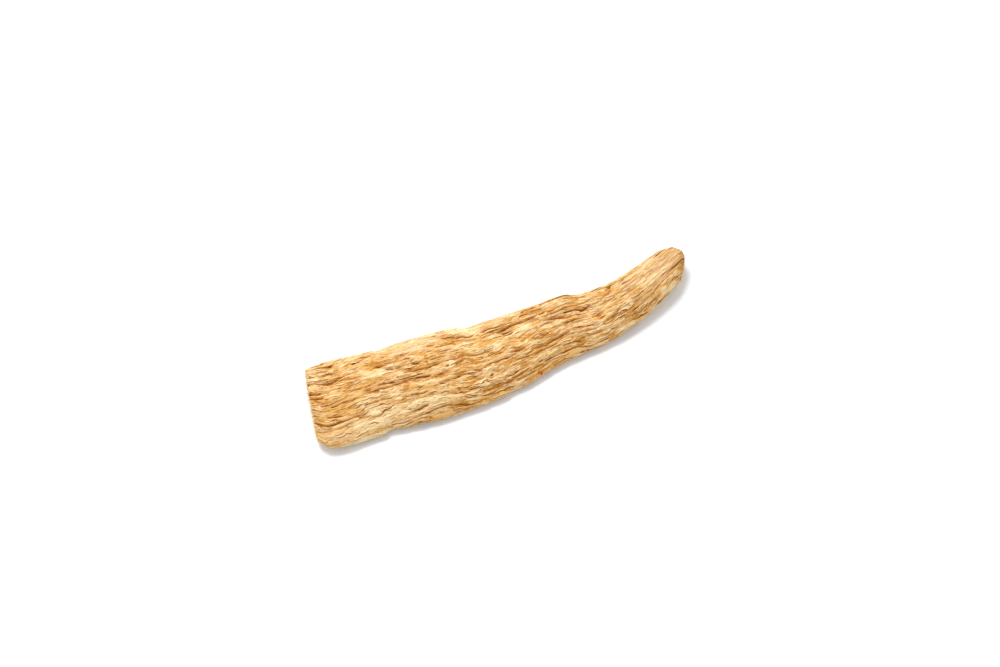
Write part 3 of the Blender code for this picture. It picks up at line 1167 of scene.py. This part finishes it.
@dataclass(frozen=True)
class CutFinish:
    """The knife-cut wood: pale bark layer, a thin brown line, and yellow inner wood with rays."""

    name: str = "dried_root_cut"
    wood: Colour = tone(236, 204, 140)
    wood_dark: Colour = tone(206, 160, 92)
    rind: Colour = tone(246, 226, 182)
    rind_dark: Colour = tone(222, 188, 132)
    line: Colour = tone(186, 130, 70)
    skin: Colour = tone(176, 118, 58)
    crack: Colour = tone(104, 58, 20)
    roughness: float = 0.86
    specular: float = 0.05
    broad: Streaks = Streaks(14.0, 1.6, 4.4, 1.5)
    rays: Streaks = Streaks(7.0, 0.26, 6.3, 2.0)
    fibres: Streaks = Streaks(2.0, 0.09, 9.9, 1.6)
    rind_depth: float = 1.45
    rind_fade: float = 0.12
    line_width: float = 0.13
    skin_depth: float = 0.16
    bump_depth: float = 0.05 * MM
    bump_strength: float = 0.7

    def material(self) -> bpy.types.Material:
        """Builds the cut wood's material, which reads the growth layers painted on the mesh.

        Returns:
            The material.
        """
        material, wiring, shader = new_material(self.name, self.roughness, self.specular)
        grain = wiring.read("grain", "Vector")
        below = wiring.read("below")
        broad, rays, fibres = (
            pattern.lay(wiring, grain) for pattern in (self.broad, self.rays, self.fibres)
        )
        shade = wiring.times(wiring.plus(broad, rays), 0.5)
        wood = wiring.mix(wiring.spread(shade, 0.38, 0.72), self.wood, self.wood_dark)
        rind = wiring.mix(wiring.spread(shade, 0.40, 0.75), self.rind, self.rind_dark)
        wavy = wiring.plus(below, wiring.times(wiring.minus(broad, 0.5), 0.5))
        inner, outer = self.rind_depth + self.rind_fade, self.rind_depth - self.rind_fade
        colour = wiring.mix(wiring.spread(wavy, inner, outer), wood, rind)
        off_line = wiring.maths("ABSOLUTE", wiring.minus(wavy, self.rind_depth))
        on_line = wiring.spread(off_line, 0.0, self.line_width, 0.65, 0.0)
        colour = wiring.mix(on_line, colour, self.line)
        on_skin = wiring.spread(below, self.skin_depth, 0.0, 0.0, 0.75)
        colour = wiring.mix(on_skin, colour, self.skin)
        lines = wiring.effect(
            grain_cracks(), Grain=grain, Run=8.0, Gap=1.3, Width=0.05, Rarity=0.56, Shift=1.2
        )
        colour = wiring.mix(wiring.times(lines, 0.7), colour, self.crack)
        specks = wiring.effect(grain_specks(), Grain=grain, Size=0.6, Rarity=0.84, Shift=7.2)
        colour = wiring.mix(wiring.times(specks, 0.35), colour, self.line)
        wiring.feed(shader.inputs["Base Color"], colour)
        wiring.feed(shader.inputs["Roughness"], wiring.spread(shade, 0.2, 0.8, 0.78, 0.92))
        height = wiring.plus(wiring.times(rays, 0.7), wiring.times(fibres, 0.5))
        add_bump(wiring, shader, wiring.minus(height, lines), self.bump_depth, self.bump_strength)
        return material


@dataclass(frozen=True)
class FibreFinish:
    """Pale torn fibres."""

    name: str = "dried_root_fibres"
    pale: Colour = tone(248, 230, 190)
    straw: Colour = tone(226, 184, 120)
    roughness: float = 0.8
    specular: float = 0.05
    shade: Streaks = Streaks(1.2 * MM, 0.3 * MM, 2.5, 2.4)

    def material(self) -> bpy.types.Material:
        """Builds the fibres' material.

        Returns:
            The material.
        """
        material, wiring, shader = new_material(self.name, self.roughness, self.specular)
        shade = self.shade.lay(wiring, wiring.add("ShaderNodeTexCoord").outputs["Object"])
        wiring.feed(shader.inputs["Base Color"], wiring.mix(shade, self.pale, self.straw))
        return material


@dataclass(frozen=True)
class FloorFinish:
    """Plain white paper."""

    name: str = "white_floor"
    colour: Colour = (0.905, 0.92, 0.95, 1.0)
    roughness: float = 0.9
    specular: float = 0.1

    def material(self) -> bpy.types.Material:
        """Builds the floor's material.

        Returns:
            The material.
        """
        material, _, shader = new_material(self.name, self.roughness, self.specular)
        shader.inputs["Base Color"].default_value = self.colour
        return material


Finish = BarkFinish | CutFinish | FibreFinish | FloorFinish


def add_piece(name: str, block: bmesh.types.BMesh, *finishes: Finish) -> bpy.types.Object:
    """Puts a built mesh in the scene.

    Args:
        name: what the piece is called.
        block: its mesh, which is freed.
        finishes: what it is dressed in, in the order of its material slots.

    Returns:
        The piece's object.
    """
    mesh = bpy.data.meshes.new(name)
    block.to_mesh(mesh)
    block.free()
    piece = bpy.data.objects.new(name, mesh)
    bpy.context.scene.collection.objects.link(piece)
    for finish in finishes:
        mesh.materials.append(finish.material())
    return piece


def keep_on_root(piece: bpy.types.Object) -> None:
    """Lets a piece move with the root."""
    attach(piece, BODY)


class Region(Enum):
    """The faces of the slice, each with its place on the bake map as (left, bottom, width, height)."""

    BARK = (0.004, 0.560, 0.992, 0.436)
    UNDERSIDE = (0.004, 0.304, 0.992, 0.248)
    NEAR_WALL = (0.004, 0.200, 0.992, 0.096)
    FAR_WALL = (0.004, 0.096, 0.992, 0.096)
    CUT_END = (0.004, 0.004, 0.440, 0.084)
    NARROW_END = (0.460, 0.004, 0.300, 0.084)

    @property
    def is_cut(self) -> bool:
        """Whether a knife made this face."""
        return self in (Region.UNDERSIDE, Region.CUT_END, Region.NARROW_END)


class Paint:
    """What the finishes read off a mesh, kept at each of its points."""

    def __init__(self, block: bmesh.types.BMesh) -> None:
        """Makes room for it on a mesh.

        Args:
            block: the mesh.
        """
        floats, vectors = block.verts.layers.float, block.verts.layers.float_vector
        self.numbers = {name: floats.new(name) for name in ("furrow", "crack", "skin", "below")}
        self.triples = {name: vectors.new(name) for name in ("grain", "zones", "spots")}

    def put(
        self, corner: bmesh.types.BMVert, grain: Vector, wear_and_shade: WearAndShade, tints: dict[str, Vector]
    ) -> None:
        """Paints one point.

        Args:
            corner: the point.
            grain: its place in the grain, in millimetres.
            wear_and_shade: what the slice is like there.
            tints: how strong each tint is there.
        """
        for name, layer in self.numbers.items():
            corner[layer] = getattr(wear_and_shade, name)
        for name, value in {"grain": grain, **tints}.items():
            corner[self.triples[name]] = value


@dataclass
class RootSlice:
    """The slice itself: one piece of root, with its bark above and its cut wood below."""

    form: SliceForm = field(default_factory=SliceForm)
    relief: BarkRelief = field(default_factory=BarkRelief)
    steps_along: int = 400
    steps_across: int = 168
    steps_up: int = 7
    underside_strip: int = 4
    edge_crowding: float = 0.6
    ragged_size: tuple[float, float] = (2.4 * MM, 0.7 * MM)
    ragged_reach: float = 0.55
    sharp_angle: float = math.radians(70.0)

    def plain_block(self) -> bmesh.types.BMesh:
        """A block from -1 to 1 each way, stepped along, across and up.

        Returns:
            The block.
        """
        block = bmesh.new()
        steps = {"x_segments": self.steps_along, "y_segments": self.steps_across}
        bmesh.ops.create_grid(block, size=1.0, **steps)
        bmesh.ops.translate(block, verts=block.verts, vec=(0.0, 0.0, -1.0))
        raised = bmesh.ops.extrude_face_region(block, geom=block.faces[:], use_keep_orig=True)
        tops = [v for v in raised["geom"] if isinstance(v, bmesh.types.BMVert)]
        bmesh.ops.translate(block, verts=tops, vec=(0.0, 0.0, 2.0))
        risers = [e for e in block.edges if abs(e.verts[0].co.z - e.verts[1].co.z) > 1.0]
        bmesh.ops.subdivide_edges(block, edges=risers, cuts=self.steps_up - 1, use_grid_fill=True)
        self.widen_underside_strips(block)
        bmesh.ops.recalc_face_normals(block, faces=block.faces)
        return block

    def widen_underside_strips(self, block: bmesh.types.BMesh) -> None:
        """Joins the strips of the underside, which has no furrows that need narrow ones.

        Args:
            block: the plain block.
        """
        strips = []
        for edge in block.edges:
            a, b = edge.verts[0].co, edge.verts[1].co
            row = round((a.y + 1.0) / 2.0 * self.steps_across)
            if max(a.z, b.z) < -0.99 and abs(a.y - b.y) < 0.001 and row % self.underside_strip:
                strips.append(edge)
        bmesh.ops.dissolve_edges(block, edges=strips, use_verts=True)

    def region(self, normal: Vector) -> Region:
        """Which face of the slice a face of the plain block belongs to.

        Args:
            normal: which way that face points.

        Returns:
            The slice's face.
        """
        if abs(normal.z) > 0.9:
            return Region.BARK if normal.z > 0.0 else Region.UNDERSIDE
        if abs(normal.y) > 0.9:
            return Region.FAR_WALL if normal.y > 0.0 else Region.NEAR_WALL
        return Region.NARROW_END if normal.x > 0.0 else Region.CUT_END

    def unwrap(self, block: bmesh.types.BMesh) -> None:
        """Lays the plain block's six faces out on the bake map and sorts them by material.

        Args:
            block: the plain block.
        """
        layer = block.loops.layers.uv.new(BAKE_UV)
        for face in block.faces:
            region = self.region(face.normal)
            face.material_index = 1 if region.is_cut else 0
            left, bottom, width, height = region.value
            for loop in face.loops:
                place = (loop.vert.co + Vector((1.0, 1.0, 1.0))) / 2.0
                if region in (Region.BARK, Region.UNDERSIDE):
                    u, v = place.x, place.y
                elif region in (Region.NEAR_WALL, Region.FAR_WALL):
                    u, v = place.x, place.z
                else:
                    u, v = place.y, place.z
                loop[layer].uv = (left + u * width, bottom + v * height)

    def side_of(self, y: float) -> float:
        """Spaces the steps across so that they crowd at the rims."""
        crowd = math.pi / 2.0 * self.edge_crowding
        return math.sin(y * crowd) / math.sin(crowd)

    def point(self, share: float, side: float, level: float) -> tuple[Vector, Vector, WearAndShade]:
        """Where a place on the slice is.

        Args:
            share: how far along the slice.
            side: how far across it.
            level: how far up.

        Returns:
            The point, its place in the grain in millimetres, and how worn it is, with the values that
            its painted shade follows.
        """
        form, relief = self.form, self.relief
        place = form.plan(share, side)
        low, high = form.underside(share, side), form.bark(share, side)
        up = low + (high - low) * (level + 1.0) / 2.0
        on_wall = form.on_wall(side)
        place.y += math.copysign(on_wall * form.wall_bulge * (1.0 - level * level), side)

        width = form.width(share)
        along = share * form.grain_length
        rim = (width + form.mean_width) / 4.0
        across = side * rim
        swayed = relief.swayed(along, across, up)
        calmed = relief.calm(share, side)
        broad = calmed * relief.furrow_drop(along, swayed, up)
        fine_drop, skin = relief.fine_relief(along, swayed, up)
        fine = (0.5 + 0.5 * calmed) * fine_drop
        girth = swayed + across * (high - low) / rim * (1.0 - level) / 2.0
        crack = relief.cracks.share(along, girth) * calmed
        reach, run, gap = relief.swell
        swell = reach * stretched_noise(along, across, up, run, gap, relief.swell_seed)

        on_top = smooth_step(level, -1.0, 1.0)
        if on_wall > 0.001:
            edge_across = math.copysign(rim, side)
            edge_swayed = relief.swayed(along, edge_across, up)
            wall_fine, wall_skin = relief.fine_relief(along, edge_swayed, up)
            wall_drop = relief.furrow_drop(along, edge_swayed, up) + wall_fine
            skin += (wall_skin - skin) * on_wall
            push = on_wall * relief.side_depth * calmed * wall_drop * width / form.mean_width
            place.y -= math.copysign(push, side)
        creased, crease_drop = relief.creased(share, side, width / 2.0)
        sunk = max(broad * (1.0 - on_wall * (1.0 - relief.rim_depth)), crease_drop)
        sunk += fine * (1.0 - on_wall) + crack * relief.cracks.depth - relief.fine_lift
        up += on_top * (swell * (1.0 - side * side) - sunk - form.rounding(share))
        rough = 1.0 - form.flatness(share, side)
        up += (1.0 - on_top) * rough * (relief.underside_depth * broad + 0.5 * fine)

        to_ends = smooth_step(abs(2.0 * share - 1.0), relief.fray_from, 1.0) * (1.0 - on_wall)
        fray = relief.frayed(across, up, round(share)) * (1.0 if share < 0.5 else relief.tip_fray)
        place += form.grain(share) * math.copysign(fray * to_ends, share - 0.5)

        # The furrow and crack values, creases included, set where the bark's colour darkens: partly its
        # own browner furrows and cracks, partly painted shade.
        deepest = sum(layer.depth for layer in relief.furrows + relief.fine)
        wear_and_shade = WearAndShade(
            furrow=min(max((broad + fine) / deepest, creased * relief.crease_shade), 1.0),
            crack=min(max(relief.crack_shade * crack, creased ** relief.crease_core), 1.0),
            skin=skin,
            below=form.below_bark(share, side, level) / MM,
        )
        return Vector((place.x, place.y, up)), Vector((along, girth, up)) / MM, wear_and_shade

    def tints(self, share: float, side: float, grain: Vector) -> dict[str, Vector]:
        """How strong each tint is at a place, under the name that the mesh keeps it by.

        Args:
            share: how far along the slice.
            side: how far across it, carried on down the long walls.
            grain: its place in the grain, in millimetres.

        Returns:
            The strengths, three to a name.
        """
        found = {"zones": Vector((0.0, 0.0, 0.0)), "spots": Vector((0.0, 0.0, 0.0))}
        run, gap = self.ragged_size
        ragged = self.ragged_reach * stretched_noise(
            grain.x * MM, grain.y * MM, grain.z * MM, run, gap, self.relief.fray_seed
        )
        half_width = self.form.width(share) / 2.0
        for patch in PATCHES:
            amount = patch.amount(share, side, self.form.grain_length, half_width, ragged)
            name, channel = patch.tint.value
            found[name][channel] = max(found[name][channel], amount)
        return found

    def shape(self, block: bmesh.types.BMesh) -> None:
        """Moves the plain block's points to the slice, and paints what its finishes read.

        Args:
            block: the plain block.
        """
        paint = Paint(block)
        for corner in block.verts:
            share = round((corner.co.x + 1.0) / 2.0, 6)
            side = self.side_of(corner.co.y)
            level = corner.co.z
            corner.co, in_grain, wear_and_shade = self.point(share, side, level)
            round_side = self.form.round_side(share, side, level)
            paint.put(corner, in_grain, wear_and_shade, self.tints(share, round_side, in_grain))

    def build(self) -> bpy.types.Object:
        """Builds the finished slice, in place of its CAD node.

        Returns:
            The slice's object.
        """
        block = self.plain_block()
        self.unwrap(block)
        self.shape(block)
        piece = add_piece("dried_slice", block, BarkFinish(), CutFinish())
        piece.data.shade_smooth()
        piece.data.set_sharp_from_angle(angle=self.sharp_angle)
        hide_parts(NODE)
        keep_on_root(piece)
        log.info("%s: %d faces, for the whole slice", piece.name, len(piece.data.polygons))
        return piece


class Lifted(Enum):
    """Which part of a flake of skin has come away."""

    TIP = "tip"
    NEAR_EDGE = "near edge"
    FAR_EDGE = "far edge"

    def share(self, along: float, across: float) -> float:
        """How far a place on the flake lies towards that part, from 0 to 1."""
        reached = {Lifted.TIP: along, Lifted.NEAR_EDGE: -across, Lifted.FAR_EDGE: across}
        return (reached[self] + 1.0) / 2.0


@dataclass
class SkinFlakes:
    """Thin flakes of papery skin that have begun to come away from the bark."""

    root: RootSlice
    count: int = 190
    seed: int = 5
    span_along: tuple[float, float] = (0.015, 0.985)
    span_across: tuple[float, float] = (-0.97, 0.97)
    lengths: tuple[float, float] = (0.9 * MM, 3.4 * MM)
    widths: tuple[float, float] = (0.25 * MM, 0.80 * MM)
    lifts: tuple[float, float] = (0.02 * MM, 0.10 * MM)
    sunk: float = 0.06 * MM
    thickness: float = 0.04 * MM
    steps_along: int = 10
    steps_across: int = 4
    roundness: float = 2.2
    narrowing: float = 0.92
    ragged: float = 0.35
    tears: tuple[float, float] = (2.6, 1.3)
    smoothing: float = 0.4
    hinge: float = 0.1
    wear_and_shade: WearAndShade = WearAndShade(furrow=0.10, crack=0.0, skin=1.0, below=0.0)

    def add_flake(self, sheet: bmesh.types.BMesh, paint: Paint, chance: random.Random) -> None:
        """Lays one flake on the bark.

        Args:
            sheet: the mesh that the flakes are in.
            paint: what the bark's finish reads off it.
            chance: what draws the flake's place and size.
        """
        form = self.root.form
        share, side = chance.uniform(*self.span_along), chance.uniform(*self.span_across)
        length, width = chance.uniform(*self.lengths), chance.uniform(*self.widths)
        lift = chance.uniform(*self.lifts)
        lifted = chance.choice(list(Lifted))
        told = chance.uniform(0.0, 50.0)
        outward = form.outward(share, side)
        steps = {"x_segments": self.steps_along, "y_segments": self.steps_across}
        grid = bmesh.ops.create_grid(sheet, size=1.0, **steps)
        for corner in grid["verts"]:
            along, across = corner.co.x, corner.co.y
            outline = (1.0 - abs(along) ** self.roundness * self.narrowing) ** 0.5
            tear = Vector((along * self.tears[0], across * self.tears[1], told))
            outline *= 1.0 + self.ragged * noise.noise(tear)
            at_share = min(max(share + along * length / 2.0 / form.grain_length, 0.0), 1.0)
            at_side = min(max(side + across * outline * width / form.width(share), -1.0), 1.0)
            place, in_grain, _ = self.root.point(at_share, at_side, 1.0)
            loose = smooth_step(lifted.share(along, across), self.hinge, 1.0)
            corner.co = place + outward * ((lift + self.sunk) * loose - self.sunk)
            corner.co.z = min(corner.co.z, CEILING)
            paint.put(corner, in_grain, self.wear_and_shade, self.root.tints(at_share, at_side, in_grain))
        axes = {"use_axis_x": True, "use_axis_y": True, "use_axis_z": True}
        bmesh.ops.smooth_vert(sheet, verts=grid["verts"], factor=self.smoothing, **axes)

    def build(self) -> bpy.types.Object:
        """Builds all the flakes, as one piece.

        Returns:
            The flakes' object.
        """
        chance = random.Random(self.seed)
        sheet = bmesh.new()
        paint = Paint(sheet)
        for _ in range(self.count):
            self.add_flake(sheet, paint, chance)
        bmesh.ops.recalc_face_normals(sheet, faces=sheet.faces)
        piece = add_piece("skin_flakes", sheet, BarkFinish())
        piece.data.shade_smooth()
        shell = piece.modifiers.new("thickness", "SOLIDIFY")
        shell.thickness = self.thickness
        shell.offset = -1.0
        keep_on_root(piece)
        log.info("%s: %d flakes of skin", piece.name, self.count)
        return piece


@dataclass
class LooseFibres:
    """Fine torn fibres that stand out of the knife cuts and off the bark."""

    root: RootSlice
    seed: int = 9
    end_counts: tuple[int, int] = (80, 34)
    edge_count: int = 36
    bark_count: int = 46
    lengths: tuple[float, float] = (0.35 * MM, 1.5 * MM)
    radius: float = 0.026 * MM
    sides: int = 4
    steps: int = 6
    taper: float = 0.84
    spread: float = 0.35
    curl: float = 0.22
    sunk: float = 0.15 * MM
    floor_gap: float = 0.02 * MM
    end_span: tuple[float, float] = (0.96, 0.90)
    share_span: tuple[float, float] = (0.02, 0.98)
    bark_span: float = 0.95
    edge_level: float = -0.95
    edge_lean: float = 0.4
    bark_rise: float = 0.2

    def add_fibre(
        self, strands: bmesh.types.BMesh, start: Vector, way: Vector, chance: random.Random
    ) -> None:
        """Draws one fibre out of the slice.

        Args:
            strands: the mesh that the fibres are in.
            start: where it comes out.
            way: which way it sets out.
            chance: what draws its length and its bends.
        """
        jitter = Vector(chance.uniform(-self.spread, self.spread) for _ in range(3))
        way = (way + jitter).normalized()
        at = start - way * self.sunk
        foot = Matrix.Translation(at) @ way.to_track_quat("Z", "Y").to_matrix().to_4x4()
        ring = bmesh.ops.create_circle(
            strands, cap_ends=True, segments=self.sides, radius=self.radius, matrix=foot
        )
        tip = ring["verts"][0].link_faces[0]
        step = chance.uniform(*self.lengths) / self.steps
        for _ in range(self.steps):
            bend = Vector(chance.uniform(-self.curl, self.curl) for _ in range(3))
            way = (way + bend).normalized()
            grown = bmesh.ops.extrude_face_region(strands, geom=[tip])["geom"]
            corners = [item for item in grown if isinstance(item, bmesh.types.BMVert)]
            tip = next(item for item in grown if isinstance(item, bmesh.types.BMFace))
            bmesh.ops.translate(strands, verts=corners, vec=way * step)
            at += way * step
            here = Matrix.Translation(-at)
            bmesh.ops.scale(strands, verts=corners, vec=(self.taper,) * 3, space=here)
        for corner in strands.verts:
            corner.co.z = min(max(corner.co.z, self.floor_gap), CEILING)

    def starts(self, chance: random.Random) -> list[tuple[Vector, Vector]]:
        """Where every fibre comes out, and which way it sets out.

        Args:
            chance: what draws the places.

        Returns:
            The places, each with its way.
        """
        form, found, both_ways = self.root.form, [], (-1.0, 1.0)
        for share, count in zip((0.0, 1.0), self.end_counts):
            out = form.grain(share) * (1.0 if share else -1.0)
            for _ in range(count):
                side, level = (chance.uniform(-reach, reach) for reach in self.end_span)
                found.append((self.root.point(share, side, level)[0], out.to_3d()))
        edges = (self.edge_count, self.edge_level, 0.0)
        for count, level, rise in (edges, (self.bark_count, 1.0, self.bark_rise)):
            for _ in range(count):
                share = chance.uniform(*self.share_span)
                reach = self.bark_span
                side = chance.choice(both_ways) if level < 0.0 else chance.uniform(-reach, reach)
                ahead = form.grain(share).to_3d() * chance.choice(both_ways)
                lean = Vector((0.0, self.edge_lean * side, rise))
                found.append((self.root.point(share, side, level)[0], ahead + lean))
        return found

    def build(self) -> bpy.types.Object:
        """Builds all the fibres, as one piece.

        Returns:
            The fibres' object.
        """
        chance = random.Random(self.seed)
        strands = bmesh.new()
        for start, way in self.starts(chance):
            self.add_fibre(strands, start, way, chance)
        bmesh.ops.recalc_face_normals(strands, faces=strands.faces)
        piece = add_piece("loose_fibres", strands, FibreFinish())
        keep_on_root(piece)
        count = sum(self.end_counts) + self.edge_count + self.bark_count
        log.info("%s: %d fibres", piece.name, count)
        return piece


@dataclass
class Studio:
    """A plain white floor, soft light from behind and above, and the photograph's camera.

    Args:
        target: what the lamp and the camera look at.
        azimuth: how far round the slice the camera stands, in degrees.
        elevation: how far up it stands, in degrees.
    """

    target: Vector = field(default_factory=lambda: Vector((0.82, 2.72, 1.48)) * MM)
    azimuth: float = -24.5
    elevation: float = 57.0
    distance: float = 425.4 * MM
    lens: float = 85.0
    sensor: float = 36.0
    floor_size: float = 4.0
    key_direction: Vector = field(default_factory=lambda: Vector((-0.08, 0.56, 0.90)))
    key_distance: float = 0.9
    key_size: float = 0.45
    key_energy: float = 7.2
    fill_strength: float = 0.86
    exposure: float = -0.16
    gamma: float = 0.95
    clip_share: float = 0.05

    def floor(self) -> bpy.types.Object:
        """Lays the floor under the slice.

        Returns:
            The floor's object.
        """
        sheet = bmesh.new()
        bmesh.ops.create_grid(sheet, x_segments=1, y_segments=1, size=self.floor_size / 2.0)
        floor = add_piece("floor", sheet, FloorFinish())
        return floor

    def set_down(
        self, name: str, thing: bpy.types.ID, back: Vector, distance: float
    ) -> bpy.types.Object:
        """Places a lamp or a camera that looks at the slice.

        Args:
            name: what it is called.
            thing: the lamp or the camera.
            back: the way from the slice towards it.
            distance: how far off it stands.

        Returns:
            Its object.
        """
        placed = bpy.data.objects.new(name, thing)
        placed.location = self.target + back * distance
        placed.rotation_mode = "QUATERNION"
        placed.rotation_quaternion = back.to_track_quat("Z", "Y")
        bpy.context.scene.collection.objects.link(placed)
        return placed

    def light(self) -> bpy.types.Object:
        """Sets up the one soft lamp, and the white room round it.

        Returns:
            The lamp's object.
        """
        lamp = bpy.data.lights.new("key", "AREA")
        lamp.shape = "DISK"
        lamp.size = self.key_size
        lamp.energy = self.key_energy
        world = bpy.data.worlds.new("white_room")
        world.use_nodes = True
        background = world.node_tree.nodes["Background"]
        background.inputs["Color"].default_value = (1.0, 1.0, 1.0, 1.0)
        background.inputs["Strength"].default_value = self.fill_strength
        bpy.context.scene.world = world
        return self.set_down("key", lamp, self.key_direction.normalized(), self.key_distance)

    def camera(self) -> bpy.types.Object:
        """Sets up the camera, where the photograph was taken from.

        Returns:
            The camera's object.
        """
        data = bpy.data.cameras.new("photo_camera")
        data.lens = self.lens
        data.sensor_width = self.sensor
        data.clip_start = self.distance * self.clip_share
        data.clip_end = self.floor_size * 2.0
        a, e = math.radians(self.azimuth), math.radians(self.elevation)
        back = Vector((math.sin(a) * math.cos(e), -math.cos(a) * math.cos(e), math.sin(e)))
        camera = self.set_down("photo_camera", data, back, self.distance)
        bpy.context.scene.camera = camera
        view = bpy.context.scene.view_settings
        view.view_transform = "Standard"
        view.exposure = self.exposure
        view.gamma = self.gamma
        return camera

    def build(self) -> None:
        """Sets up the floor, the light and the camera."""
        for thing in (self.floor(), self.light(), self.camera()):
            log.info("%s: in place", thing.name)


def main() -> None:
    """Builds the scene, piece by piece."""
    logging.basicConfig(level=logging.INFO, format="%(message)s")
    Studio().build()
    root = RootSlice()
    root.build()
    SkinFlakes(root).build()
    LooseFibres(root).build()


if __name__ == "__main__":
    main()
